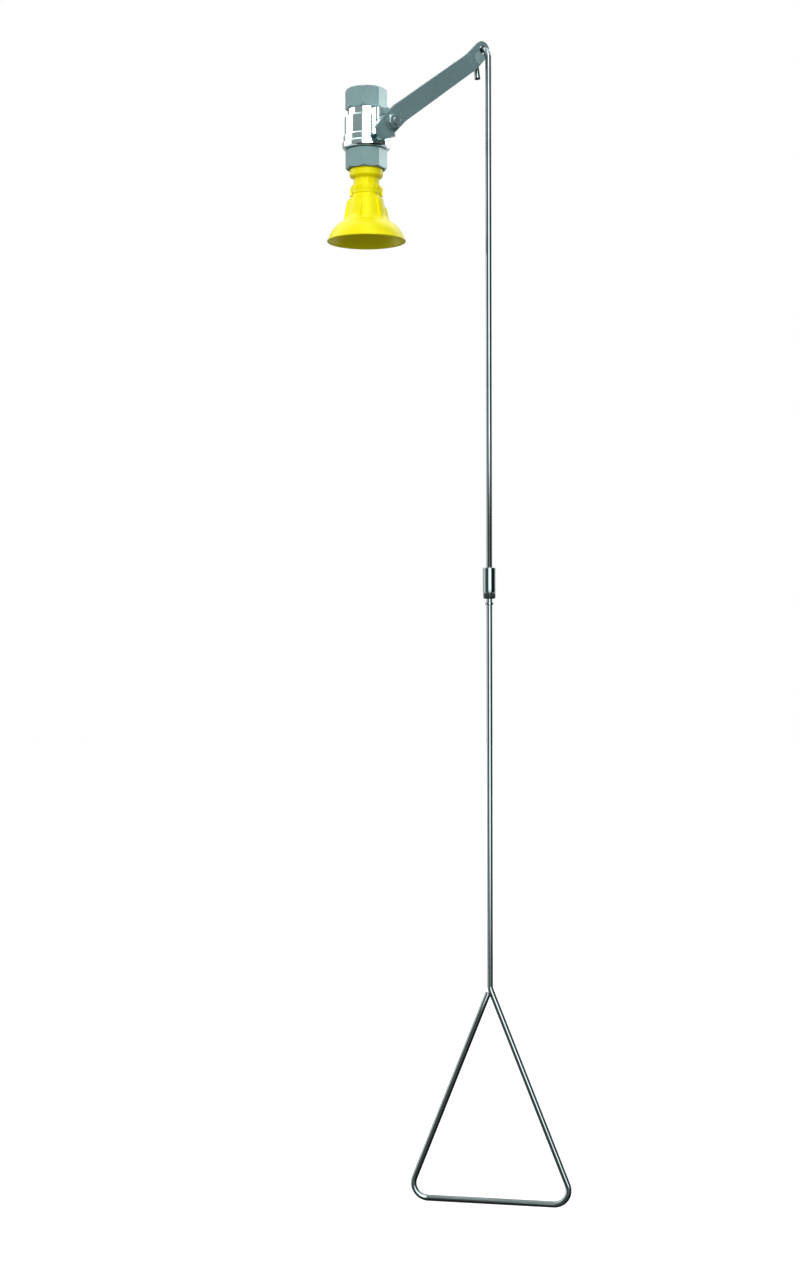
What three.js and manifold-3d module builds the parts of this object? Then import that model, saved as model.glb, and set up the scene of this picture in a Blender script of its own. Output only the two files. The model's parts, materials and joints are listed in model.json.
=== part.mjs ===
// Emergency safety shower: a quarter-turn ball valve with a bent lever, a bell-shaped shower head
// screwed into it, and a hooked two-part pull rod that ends in a triangular handle.
// Millimetres, +Z up. The origin is the centre of the valve's upper end face, where the supply
// pipe enters. The valve stem points along -Y, and the closed lever points along +X and up.
import * as THREE from 'three';
import { mergeVertices } from 'three/addons/utils/BufferGeometryUtils.js';
import Module from 'manifold-3d';

const wasm = await Module();
wasm.setup();

// ---------------------------------------------------------------- driving dimensions
const GAP = 0.3;                 // clearance left between neighbouring pieces
const SIDES = 32;                // facets round a large turned surface
const SMALL_SIDES = 16;          // facets round a small turned surface
const HOLE_SIDES = 6;            // facets round a drilled hole in an insert
const WIRE_SIDES = 10;           // facets round the pull rods

const VALVE_LENGTH = 80;         // end face to end face
const OCTAGON_FLATS = 39;        // across the spanner flats
const OCTAGON_LENGTH = 20;       // length of each octagonal end
const STEM_Z = -40.5;            // height of the stem axis and the ball centre
const INLET_RADIUS = 15.2;       // female thread at its minor diameter
const INLET_DEPTH = 17;
const OUTLET_RADIUS = 16.9;      // female thread cleared for the head's male thread
const OUTLET_DEPTH = 15.5;
const WATERWAY_RADIUS = 10.8;
const BARREL_RADIUS = 21.6;
const RING_RADIUS = 23.9;
const PAD_HALF = 9.5;            // the pad that the stem passes through
const PAD_DEPTH = 31.5;
const PAD_LOW = -9.8;            // from the stem axis
const PAD_HIGH = 16.2;
const BOSS_RADIUS = 8.9;
const LUG_END = 37;              // valve axis to the ends of the stop lugs
const LUG_OUTLINE = [            // the upper stop, across the stem from its axis
  [-3.2, 9.4], [-3.2, 14.6], [-2.2, 15.3], [-0.5, 15.3], [3, 12.8], [8, 12.4], [8, 9.4],
];
const CHAMBER_RADIUS = 17.6;
const CHAMBER_HALF = 11;         // ball centre to the shoulders of the chamber
const SEAT_POCKET = 15;          // radius of the pockets that hold the seats
const SEAT_DEPTH = 15.5;         // ball centre to the bottoms of those pockets
const SPIGOT_BORE = 19;
const SPIGOT_SHOULDER = -52;
const SPIGOT_NOSE = -53.6;       // upper end of the end cap

const BALL_RADIUS = 17;
const SEAT_OUTER = 14.7;
const SEAT_INNER = 11;
const STEM_RADIUS = 4.6;
const STEM_FLATS = 7;            // across the two flats that drive the lever

const LEVER_PLANE = 40.5;        // valve axis to the middle of the lever's hub plate
const LEVER_JOGGLE = 55;         // how far the outer end stands outside the hub plate
const LEVER_THICKNESS = 3;
const LEVER_LENGTH = 100;        // stem axis to the hook hole
const NEAR_BEND = 15;            // stem axis to the first bend
const FAR_BEND = 80;             // stem axis to the second bend
const HUB_WIDTH = 19.5;
const TAB_WIDTH = 16.4;          // the stop tab that is curled back at the hub
const TAB_RADIUS = 9;
const TAB_START = -13.2;         // stem axis to the corner that the curl rounds
const FOLD_RADIUS = 6;
const TIP_WIDTH = 17;
const HOOK_HOLE_RADIUS = 4.2;
const CLOSED_ANGLE = Math.PI / 4;

const ROD_RADIUS = 3;
const HOOK_RADIUS = 9.6;         // centreline radius of the hook
const HOOK_SWEEP = 190;          // degrees of bend in the hook
const HOOK_TAIL = 16;
const SLEEVE_TOP = -479.4;
const SLEEVE_LENGTH = 24.6;
const SLEEVE_RADIUS = 6.4;
const APEX_Z = -891.6;           // where the rod's axis meets the two handle legs
const BAR_Z = -1100.5;           // axis of the handle's bottom bar
const BAR_HALF = 83.7;           // half of the bar, corner to corner
const CORNER_RADIUS = 14.5;
const HANDLE_AIM = -49.4 * Math.PI / 180;

const HEAD_TOP = -66;            // upper end of the head's thread
const THREAD_RADIUS = 16.5;      // male thread at its crests
const COLLAR_RADIUS = 16.7;
const COLLAR_END = -86.4;
const NECK_END = -96.3;
const TUBE_END = -109;
const RIM_Z = -152.2;            // lower edge of the bell
const RIM_RADIUS = 39.4;
const WALL = 2.2;
const RIB_COUNT = 6;             // tall and short ribs by turns
const RIB_ANGLE = 154;           // degrees round Z to the first tall rib

// ---------------------------------------------------------------- materials
const material = (color, roughness, metalness) =>
  new THREE.MeshStandardMaterial({ color, roughness, metalness });

const nickel = material(0x9fb0b0, 0.25, 1.0);
const polished = material(0xc8cccc, 0.1, 1.0);
const leverSteel = material(0x74888a, 0.4, 0.9);
const darkSteel = material(0x2c2f30, 0.4, 0.8);
const ptfe = material(0xf2f2ee, 0.5, 0.0);
const rubber = material(0x1c1c1c, 0.8, 0.0);
const yellow = material(0xf4ea00, 0.35, 0.0);
const acetal = material(0xe9e9e4, 0.5, 0.0);

// ---------------------------------------------------------------- geometry helpers
// A closed three.js geometry becomes a solid that can be joined and cut.
function solid(geometry) {
  const bare = geometry.index ? geometry.clone() : geometry;
  bare.deleteAttribute('normal');
  bare.deleteAttribute('uv');
  const merged = mergeVertices(bare, 1e-4);
  const position = merged.getAttribute('position');
  const triVerts = Uint32Array.from(merged.index.array);
  if (signedVolume(position, triVerts) < 0) {
    for (let i = 0; i < triVerts.length; i += 3) {
      [triVerts[i], triVerts[i + 1]] = [triVerts[i + 1], triVerts[i]];
    }
  }
  const vertProperties = Float32Array.from(position.array);
  const mesh = new wasm.Mesh({ numProp: 3, vertProperties, triVerts });
  return new wasm.Manifold(mesh);
}

function signedVolume(position, indices) {
  const a = new THREE.Vector3();
  const b = new THREE.Vector3();
  const c = new THREE.Vector3();
  let sum = 0;
  for (let i = 0; i < indices.length; i += 3) {
    a.fromBufferAttribute(position, indices[i]);
    b.fromBufferAttribute(position, indices[i + 1]);
    c.fromBufferAttribute(position, indices[i + 2]);
    sum += a.dot(b.cross(c));
  }
  return sum / 6;
}

// The solid goes back to three.js as a named mesh.
function piece(name, body, finish) {
  const mesh = body.getMesh();
  const geometry = new THREE.BufferGeometry();
  const vertices = new THREE.Float32BufferAttribute(mesh.vertProperties, 3);
  geometry.setAttribute('position', vertices);
  geometry.setIndex(Array.from(mesh.triVerts));
  geometry.computeVertexNormals();
  const result = new THREE.Mesh(geometry, finish);
  result.name = name;
  return result;
}

// A profile of [radius, z] points, turned about Z. It closes on itself or starts and ends on the axis.
function turned(profile, sides = SIDES) {
  const points = profile.map(([r, z]) => new THREE.Vector2(r, z));
  const first = profile[0];
  const last = profile[profile.length - 1];
  const onAxis = first[0] === 0 && last[0] === 0;
  if (!onAxis) points.push(points[0].clone());
  return solid(new THREE.LatheGeometry(points, sides).rotateX(Math.PI / 2));
}

function washer(outer, inner, top, bottom, sides = SIDES) {
  return turned([[inner, bottom], [outer, bottom], [outer, top], [inner, top]], sides);
}

function disc(radius, top, bottom, sides = SIDES) {
  return turned([[0, bottom], [radius, bottom], [radius, top], [0, top]], sides);
}

function prism(radius, top, bottom, sides) {
  const height = top - bottom;
  const geometry = new THREE.CylinderGeometry(radius, radius, height, sides);
  return solid(geometry.rotateX(Math.PI / 2).translate(0, 0, (top + bottom) / 2));
}

function box(low, high) {
  const size = high.map((value, i) => value - low[i]);
  const middle = high.map((value, i) => (value + low[i]) / 2);
  return solid(new THREE.BoxGeometry(...size).translate(...middle));
}

function ringCord(radius, cordRadius, z) {
  const geometry = new THREE.TorusGeometry(radius, cordRadius, 6, SMALL_SIDES);
  return solid(geometry.translate(0, 0, z));
}

// A flat outline of [x, y] points, raised from one height to another along Z.
function slab(outline, low, high) {
  const shape = new THREE.Shape(outline.map(([x, y]) => new THREE.Vector2(x, y)));
  const geometry = new THREE.ExtrudeGeometry(shape, { depth: high - low, bevelEnabled: false });
  return solid(geometry.translate(0, 0, low));
}

const acrossFlats = (flats, sides) => flats / 2 / Math.cos(Math.PI / sides);

// A nut or spanner end: a prism whose corners are turned off at both ends.
function chamferedPrism(flats, top, bottom, sides, chamfer) {
  const corner = acrossFlats(flats, sides);
  const face = flats / 2 - 0.5;
  const blank = prism(corner, top, bottom, sides);
  const turning = turned([
    [0, bottom], [face, bottom], [corner + 0.1, bottom + chamfer],
    [corner + 0.1, top - chamfer], [face, top], [0, top],
  ]);
  return blank.intersect(turning);
}

// Points that lie along Z are laid along -Y, so z becomes the distance out from the valve axis.
const alongStem = (body) => body.rotate([90, 0, 0]);

// Corner points joined by straight runs and arcs. radii holds one radius for each inner corner.
function roundedRoute(corners, radii, steps) {
  const route = [corners[0].clone()];
  for (let i = 1; i < corners.length - 1; i += 1) {
    const radius = radii[i - 1];
    const inward = corners[i - 1].clone().sub(corners[i]).normalize();
    const outward = corners[i + 1].clone().sub(corners[i]).normalize();
    const half = Math.acos(THREE.MathUtils.clamp(inward.dot(outward), -1, 1)) / 2;
    const bisector = inward.clone().add(outward).normalize();
    const centre = corners[i].clone().addScaledVector(bisector, radius / Math.sin(half));
    const setback = radius / Math.tan(half);
    const start = corners[i].clone().addScaledVector(inward, setback).sub(centre);
    const end = corners[i].clone().addScaledVector(outward, setback).sub(centre);
    const sweep = Math.PI - 2 * half;
    for (let k = 0; k <= steps; k += 1) {
      const angle = sweep * k / steps;
      const point = start.clone().multiplyScalar(Math.sin(sweep - angle) / Math.sin(sweep));
      point.addScaledVector(end, Math.sin(angle) / Math.sin(sweep));
      route.push(point.add(centre));
    }
  }
  route.push(corners[corners.length - 1].clone());
  return route;
}

// A path that puts one ring of the tube at each station, so straight runs cost no triangles.
class StationPath extends THREE.Curve {
  constructor(stations) {
    super();
    this.stations = stations;
  }

  getPoint(t, target = new THREE.Vector3()) {
    const index = Math.round(t * (this.stations.length - 1));
    return target.copy(this.stations[index]);
  }

  getPointAt(t, target) {
    return this.getPoint(t, target);
  }

  getTangentAt(t, target = new THREE.Vector3()) {
    const last = this.stations.length - 1;
    const index = Math.round(t * last);
    const before = this.stations[Math.max(index - 1, 0)];
    const here = this.stations[index];
    const after = this.stations[Math.min(index + 1, last)];
    target.set(0, 0, 0);
    if (index > 0) target.add(here.clone().sub(before).normalize());
    if (index < last) target.add(after.clone().sub(here).normalize());
    return target.normalize();
  }
}

function wire(stations, radius, sides) {
  const section = new THREE.Shape();
  for (let i = 0; i < sides; i += 1) {
    const angle = 2 * Math.PI * i / sides;
    const x = radius * Math.cos(angle);
    const y = radius * Math.sin(angle);
    if (i === 0) section.moveTo(x, y);
    else section.lineTo(x, y);
  }
  const settings = { steps: stations.length - 1, extrudePath: new StationPath(stations) };
  return solid(new THREE.ExtrudeGeometry(section, settings));
}

// ---------------------------------------------------------------- valve
function makeValveBody() {
  const bottom = -VALVE_LENGTH + OCTAGON_LENGTH;
  const upperEnd = chamferedPrism(OCTAGON_FLATS, 0, -20.5, 8, 1.6);
  const barrel = turned([
    [0, bottom], [22.6, bottom], [RING_RADIUS, bottom + 1.6], [RING_RADIUS, bottom + 6],
    [23.2, bottom + 6.8], [22.7, bottom + 7], [22.7, bottom + 13], [22.2, bottom + 13.6],
    [BARREL_RADIUS, bottom + 13.8], [BARREL_RADIUS, -28.6], [20.6, -27.4], [18.4, -27.4],
    [18.4, -20], [0, -20],
  ]);
  const pad = slab([
    [-PAD_HALF, 0], [-PAD_HALF, 3.5 - PAD_DEPTH], [4 - PAD_HALF, -PAD_DEPTH],
    [PAD_HALF - 4, -PAD_DEPTH], [PAD_HALF, 3.5 - PAD_DEPTH], [PAD_HALF, 0],
  ], STEM_Z + PAD_LOW, STEM_Z + PAD_HIGH);
  const boss = alongStem(disc(BOSS_RADIUS, 34, 0, SMALL_SIDES)).translate([0, 0, STEM_Z]);
  const topLug = slab(LUG_OUTLINE, 20, LUG_END);
  const stops = topLug.add(topLug.mirror([0, 1, 0]));
  const stemSide = alongStem(stops).translate([0, 0, STEM_Z]);
  const outside = upperEnd.add(barrel).add(pad).add(stemSide).add(boss);

  const chamberTop = STEM_Z + CHAMBER_HALF;
  const pocketTop = STEM_Z + SEAT_DEPTH;
  const inside = turned([
    [0, bottom - 2], [SPIGOT_BORE, bottom - 2], [SPIGOT_BORE, SPIGOT_SHOULDER],
    [CHAMBER_RADIUS, SPIGOT_SHOULDER], [CHAMBER_RADIUS, chamberTop], [SEAT_POCKET, chamberTop],
    [SEAT_POCKET, pocketTop], [WATERWAY_RADIUS, pocketTop],
    [WATERWAY_RADIUS, -INLET_DEPTH - 2], [INLET_RADIUS, -INLET_DEPTH],
    [INLET_RADIUS, -1.2], [INLET_RADIUS + 1.2, 0], [INLET_RADIUS + 1.2, 1], [0, 1],
  ]);
  const stemPassage = turned([
    [0, 10], [7.4, 10], [7.4, 22.7], [4.9, 22.7], [4.9, 23.5], [6.8, 23.5], [6.8, 26],
    [4.9, 26], [4.9, 27], [7.3, 27], [7.3, 35], [0, 35],
  ], SMALL_SIDES);
  const stemHole = alongStem(stemPassage).translate([0, 0, STEM_Z]);
  return outside.subtract(inside).subtract(stemHole);
}

function makeEndCap() {
  const top = -VALVE_LENGTH + OCTAGON_LENGTH - GAP;
  const octagon = chamferedPrism(OCTAGON_FLATS, top, -VALVE_LENGTH, 8, 1.6);
  const spigot = disc(18.6, SPIGOT_NOSE, top - 2);
  const socketTop = -VALVE_LENGTH + OUTLET_DEPTH;
  const passage = turned([
    [0, -VALVE_LENGTH - 1], [OUTLET_RADIUS + 1, -VALVE_LENGTH - 1],
    [OUTLET_RADIUS + 1, -VALVE_LENGTH], [OUTLET_RADIUS, -VALVE_LENGTH + 1],
    [OUTLET_RADIUS, socketTop], [WATERWAY_RADIUS, socketTop],
    [WATERWAY_RADIUS, STEM_Z - SEAT_DEPTH], [SEAT_POCKET, STEM_Z - SEAT_DEPTH],
    [SEAT_POCKET, SPIGOT_NOSE + 1], [0, SPIGOT_NOSE + 1],
  ]);
  return octagon.add(spigot).subtract(passage);
}

// A seat ring hugs the ball with a spherical face. side is +1 above the ball and -1 below it.
function makeSeat(side) {
  const faceRadius = BALL_RADIUS + GAP;
  const steps = 3;
  const profile = [[SEAT_INNER, STEM_Z + side * 15.2], [SEAT_OUTER, STEM_Z + side * 15.2]];
  for (let i = 0; i <= steps; i += 1) {
    const radius = SEAT_OUTER + (SEAT_INNER - SEAT_OUTER) * i / steps;
    profile.push([radius, STEM_Z + side * Math.sqrt(faceRadius ** 2 - radius ** 2)]);
  }
  return turned(profile);
}

function makeBall() {
  const sphere = solid(new THREE.SphereGeometry(BALL_RADIUS, 28, 14));
  const bore = solid(new THREE.CylinderGeometry(11, 11, 40, 20).rotateZ(Math.PI / 2));
  const slot = box([-20, -20, -3], [20, -13.4, 3]);
  return sphere.subtract(bore).subtract(slot);
}

function makeStem() {
  const shaft = turned([
    [0, 17.9], [7, 17.9], [7, 21], [STEM_RADIUS, 21], [STEM_RADIUS, 42.6], [3.9, 43],
    [3.9, 49.4], [3.4, 50], [0, 50],
  ], SMALL_SIDES);
  const flatCut = 38.6;
  const half = STEM_FLATS / 2;
  const leftCut = box([-8, half, flatCut], [8, 8, 55]);
  const rightCut = box([-8, -8, flatCut], [8, -half, 55]);
  const tang = box([-6, -2.6, 13.9], [6, 2.6, 18.5]);
  return alongStem(shaft.subtract(leftCut).subtract(rightCut).add(tang));
}

function makeGlandNut() {
  const hexagon = chamferedPrism(15, 38, 34 + GAP, 6, 0.8);
  const thread = disc(7, 35, 31.3, SMALL_SIDES);
  const hole = disc(STEM_RADIUS + GAP, 40, 30, SMALL_SIDES);
  return alongStem(hexagon.add(thread).subtract(hole));
}

// The lever is a bent strip seen from its edge, kept only inside its outline seen from the front.
function makeLever() {
  const inner = -LEVER_PLANE;
  const outer = -LEVER_PLANE - LEVER_JOGGLE;
  const route = roundedRoute([
    new THREE.Vector3(TAB_START - 3, inner + 5.2, 0),
    new THREE.Vector3(TAB_START, inner, 0),
    new THREE.Vector3(NEAR_BEND, inner, 0),
    new THREE.Vector3(FAR_BEND, outer, 0),
    new THREE.Vector3(LEVER_LENGTH + 12, outer, 0),
  ], [TAB_RADIUS, FOLD_RADIUS, FOLD_RADIUS], 5);
  const edges = [[], []];
  route.forEach((point, i) => {
    const path = new StationPath(route);
    const tangent = path.getTangentAt(i / (route.length - 1));
    for (const side of [0, 1]) {
      const offset = (side === 0 ? 1 : -1) * LEVER_THICKNESS / 2;
      edges[side].push([point.x - tangent.y * offset, point.y + tangent.x * offset]);
    }
  });
  const strip = slab([...edges[0], ...edges[1].reverse()], -15, 15);

  const tipRadius = TIP_WIDTH / 2;
  const hubHalf = HUB_WIDTH / 2;
  const tabHalf = TAB_WIDTH / 2;
  const tabEdge = [
    [-19, tabHalf - 4.5], [-17.4, tabHalf - 3.2], [-15.8, tabHalf - 1.2], [-14, tabHalf],
    [-7, hubHalf], [NEAR_BEND, hubHalf],
  ];
  const outline = tabEdge.map(([x, y]) => [x, -y]);
  for (let i = 0; i <= 12; i += 1) {
    const angle = -Math.PI / 2 + Math.PI * i / 12;
    const x = LEVER_LENGTH + tipRadius * Math.cos(angle);
    outline.push([x, tipRadius * Math.sin(angle)]);
  }
  outline.push(...tabEdge.reverse());
  const front = alongStem(slab(outline, 20, 110));

  const hookHole = disc(HOOK_HOLE_RADIUS, 110, 60, SMALL_SIDES).translate([LEVER_LENGTH, 0, 0]);
  const round = disc(STEM_RADIUS + GAP, 55, 30, SMALL_SIDES);
  const half = STEM_FLATS / 2 + GAP;
  const flats = box([-8, -half, 25], [8, half, 60]);
  const stemHole = round.intersect(flats).rotate([0, 0, -THREE.MathUtils.radToDeg(CLOSED_ANGLE)]);
  return strip.intersect(front).subtract(alongStem(hookHole)).subtract(alongStem(stemHole));
}

function makeLeverNut() {
  const start = LEVER_PLANE + LEVER_THICKNESS / 2 + 1.3 + 2 * GAP;
  const hexagon = chamferedPrism(13, start + 4.6, start, 6, 0.8);
  const hole = disc(3.9 + GAP, start + 6, start - 1, SMALL_SIDES);
  return alongStem(hexagon.subtract(hole));
}

function makeLeverWasher() {
  const start = LEVER_PLANE + LEVER_THICKNESS / 2 + GAP;
  return alongStem(washer(8, STEM_RADIUS + GAP, start + 1.3, start, SMALL_SIDES));
}

// ---------------------------------------------------------------- shower head
function makeConnector() {
  const outside = turned([
    [0, HEAD_TOP], [15.6, HEAD_TOP], [THREAD_RADIUS, HEAD_TOP - 1],
    [THREAD_RADIUS, -VALVE_LENGTH - GAP], [COLLAR_RADIUS, -VALVE_LENGTH - GAP],
    [COLLAR_RADIUS, COLLAR_END], [15.4, -88], [13.3, -89], [12.9, -90],
    [12.9, NECK_END], [12.2, NECK_END], [12.2, -102], [10.6, -102], [10.6, -105],
    [12.2, -105], [12.2, TUBE_END], [0, TUBE_END],
  ]);
  const bore = turned([
    [0, HEAD_TOP + 1], [12.2, HEAD_TOP + 1], [12.2, -85], [8, -89], [8, TUBE_END - 1],
    [0, TUBE_END - 1],
  ]);
  return outside.subtract(bore);
}

// A ring of drilled holes, to be cut out of an insert.
function holeRing(holeRadius, pitchRadius, count, top, bottom) {
  const holes = [];
  for (let i = 0; i < count; i += 1) {
    const angle = 2 * Math.PI * i / count;
    const place = [pitchRadius * Math.cos(angle), pitchRadius * Math.sin(angle), 0];
    holes.push(disc(holeRadius, top, bottom, HOLE_SIDES).translate(place));
  }
  return wasm.Manifold.union(holes);
}

function makeStrainer() {
  const plate = disc(11.9, -68.5, -70, SMALL_SIDES);
  const innerHoles = holeRing(1.3, 4.5, 6, -67, -72);
  const outerHoles = holeRing(1.3, 8.7, 12, -67, -72);
  return plate.subtract(innerHoles).subtract(outerHoles);
}

function makeRegulator() {
  const rim = turned([
    [0, -81], [11.9, -81], [11.9, -76], [9.5, -76], [9.5, -78.5], [0, -78.5],
  ], SMALL_SIDES);
  return rim.subtract(holeRing(1.6, 5.8, 8, -70, -85));
}

const BELL_OUTSIDE = [
  [15.1, -96.6], [15.1, -104.6], [14.4, -105.2], [14.4, -107.8],
  [16.6, -109], [18, -115], [19.6, -123], [22, -129.5], [25.4, -132.6], [29.3, -135.6],
  [32.9, -139.7], [35.6, -143.9], [37.6, -148], [38.6, -150], [RIM_RADIUS, -150.6],
  [RIM_RADIUS, RIM_Z + 0.4],
];

function makeBell() {
  const innerWall = BELL_OUTSIDE.slice(5, 14).map(([r, z]) => [r - WALL, z - WALL / 2]);
  const profile = [
    ...BELL_OUTSIDE, [RIM_RADIUS - 1.6, RIM_Z], ...innerWall.reverse(),
    [9, -114.5], [8.4, -112.5], [8.4, TUBE_END - 2 * GAP], [12.6, TUBE_END - 2 * GAP],
    [12.6, -96.6],
  ];
  const shell = turned(profile);
  const ribs = [];
  for (let i = 0; i < RIB_COUNT; i += 1) {
    const top = i % 2 === 0 ? [[19.4, -112.4], [17.4, -109.6]] : [[20.6, -118.6], [19.4, -117]];
    const outline = [[16, -131], [23, -131], [21.4, -122], ...top, [16, top[1][1]]];
    const upright = slab(outline, -1.5, 1.5).rotate([90, 0, 0]);
    ribs.push(upright.rotate([0, 0, RIB_ANGLE + 360 * i / RIB_COUNT]));
  }
  const hollow = turned([
    [0, -140], [21, -140], [19.2, -131], [17, -124.5], [15, -116], [0, -116],
  ]);
  return shell.add(wasm.Manifold.union(ribs).subtract(hollow));
}

function makeDiffuser() {
  const plate = disc(8, -110, -112, SMALL_SIDES);
  const cone = turned([
    [0, -123], [6.5, -122.4], [6.5, -121.6], [3, -117], [3, -111], [0, -111],
  ], SMALL_SIDES);
  const body = plate.add(cone).subtract(holeRing(1.3, 5.3, 8, -108, -114));
  return body.subtract(disc(1.8, -119, -124, 12));
}

function makeDiffuserScrew() {
  const shank = disc(1.5, -119.5, -123.5, 12);
  const head = turned([[0, -125], [2.6, -125], [3, -124.4], [3, -123.3], [0, -123.3]], 16);
  const recess = box([-3.5, -0.4, -126], [3.5, 0.4, -124.4]);
  return shank.add(head).subtract(recess);
}

// ---------------------------------------------------------------- pull rod and handle
// The upper rod rises outside the lever, passes through its hole and ends behind it.
function makeUpperRod() {
  const stations = [new THREE.Vector3(0, -HOOK_RADIUS, SLEEVE_TOP - 11)];
  const steps = 16;
  const sweep = THREE.MathUtils.degToRad(HOOK_SWEEP);
  for (let i = 0; i <= steps; i += 1) {
    const angle = sweep * i / steps;
    const y = -HOOK_RADIUS * Math.cos(angle);
    const z = HOOK_RADIUS * Math.sin(angle) - HOOK_RADIUS;
    stations.push(new THREE.Vector3(0, y, z));
  }
  const end = stations[stations.length - 1];
  const tailY = end.y + HOOK_TAIL * Math.sin(sweep);
  const tailZ = end.z + HOOK_TAIL * Math.cos(sweep);
  stations.push(new THREE.Vector3(0, tailY, tailZ));
  stations[0].z -= HOLE_CENTRE.z;
  return wire(stations, ROD_RADIUS, WIRE_SIDES);
}

// The lower rod bends into the right leg, runs round the handle and ends beside its first bend.
function makePullHandle() {
  const rodTop = SLEEVE_TOP - 14.5;
  const legTilt = Math.atan2(BAR_HALF, APEX_Z - BAR_Z);
  const freeEnd = 8.6;
  const route = roundedRoute([
    new THREE.Vector3(0, 0, rodTop),
    new THREE.Vector3(0, 0, APEX_Z),
    new THREE.Vector3(BAR_HALF, 0, BAR_Z),
    new THREE.Vector3(-BAR_HALF, 0, BAR_Z),
    new THREE.Vector3(-freeEnd * Math.sin(legTilt), 0, APEX_Z - freeEnd * Math.cos(legTilt)),
  ], [CORNER_RADIUS, CORNER_RADIUS, CORNER_RADIUS], 8);
  return wire(route, ROD_RADIUS, WIRE_SIDES);
}

function makeSleeve() {
  const bottom = SLEEVE_TOP - SLEEVE_LENGTH;
  const bore = ROD_RADIUS + GAP;
  return turned([
    [bore, bottom], [SLEEVE_RADIUS, bottom], [SLEEVE_RADIUS, SLEEVE_TOP - 0.8],
    [SLEEVE_RADIUS - 0.8, SLEEVE_TOP], [bore, SLEEVE_TOP],
  ], SMALL_SIDES);
}

function makeLockNut() {
  const top = SLEEVE_TOP - SLEEVE_LENGTH - GAP;
  const bore = ROD_RADIUS + GAP;
  return turned([
    [bore, top - 5.6], [5, top - 5.6], [6, top - 4.4], [6, top - 0.5], [5.6, top], [bore, top],
  ], SMALL_SIDES);
}

function makeRetainingRing() {
  const top = SLEEVE_TOP - 34;
  const bore = ROD_RADIUS + GAP;
  return turned([
    [bore, top - 2.4], [3.7, top - 2.4], [4.1, top - 1.2], [3.7, top], [bore, top],
  ], SMALL_SIDES);
}

// ---------------------------------------------------------------- assembly
const HOLE_CENTRE = new THREE.Vector3(
  LEVER_LENGTH * Math.cos(CLOSED_ANGLE),
  -LEVER_PLANE - LEVER_JOGGLE,
  STEM_Z + LEVER_LENGTH * Math.sin(CLOSED_ANGLE),
);

const shower = new THREE.Group();

const jointRing = washer(18.75, 17.75, -52.3, -53.3);
const thrustWasher = alongStem(washer(7, 5, 22.3, 21.3, SMALL_SIDES)).translate([0, 0, STEM_Z]);
const stemSeal = alongStem(ringCord(5.8, 0.8, 24.75)).translate([0, 0, STEM_Z]);
const packing = alongStem(washer(7, 4.9, 31, 27.3, SMALL_SIDES)).translate([0, 0, STEM_Z]);
shower.add(
  piece('valve_body', makeValveBody(), nickel),
  piece('valve_end_cap', makeEndCap(), nickel),
  piece('body_joint_ring', jointRing, ptfe),
  piece('upper_seat_ring', makeSeat(1), ptfe),
  piece('lower_seat_ring', makeSeat(-1), ptfe),
  piece('stem_thrust_washer', thrustWasher, ptfe),
  piece('stem_o_ring', stemSeal, rubber),
  piece('packing_ring', packing, ptfe),
  piece('gland_nut', makeGlandNut().translate([0, 0, STEM_Z]), nickel),
);

const turning = new THREE.Group();
turning.position.set(0, 0, STEM_Z);
turning.rotation.y = -CLOSED_ANGLE;
turning.add(
  piece('lever', makeLever(), leverSteel),
  piece('lever_washer', makeLeverWasher(), polished),
  piece('lever_nut', makeLeverNut(), leverSteel),
);
shower.add(turning);

// The bore lies across the flow while the valve is closed, and the stem's tang lies along it.
const flowControl = new THREE.Group();
flowControl.position.set(0, 0, STEM_Z);
flowControl.add(
  piece('stem', makeStem(), nickel),
  piece('ball', makeBall(), polished),
);
shower.add(flowControl);

shower.add(
  piece('head_gasket', washer(16.3, 11.5, -64.8, -65.7), rubber),
  piece('strainer', makeStrainer(), polished),
  piece('flow_regulator', makeRegulator(), acetal),
  piece('head_connector', makeConnector(), yellow),
  piece('connector_o_ring', ringCord(11.6, 0.65, -103.5), rubber),
  piece('shower_bell', makeBell(), yellow),
  piece('spray_diffuser', makeDiffuser(), yellow),
  piece('diffuser_screw', makeDiffuserScrew(), polished),
);

const hook = new THREE.Group();
hook.position.copy(HOLE_CENTRE);
hook.add(piece('upper_rod', makeUpperRod(), polished));
shower.add(hook);

const rodLine = new THREE.Group();
rodLine.position.set(HOLE_CENTRE.x, HOLE_CENTRE.y - HOOK_RADIUS, 0);
rodLine.rotation.z = HANDLE_AIM;
rodLine.add(
  piece('coupling_sleeve', makeSleeve(), polished),
  piece('lock_nut', makeLockNut(), darkSteel),
  piece('retaining_ring', makeRetainingRing(), polished),
  piece('pull_handle', makePullHandle(), polished),
);
shower.add(rodLine);

export default shower;
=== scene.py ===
# %% [markdown]
# # An emergency safety shower
# A plated ball valve hangs from a water pipe. A yellow bell-shaped head is screwed in below it,
# and a bent steel lever beside it carries a long two-part rod with a triangular pull handle.
# The working model already exists, with its joints, so this lesson loads it and never moves it.
# It rebuilds every piece that shows with bmesh operators, and gives each one a procedural finish.

# %% Load the frame
import json
import math

import bmesh
import bpy
from mathutils import Matrix, Vector


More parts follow.
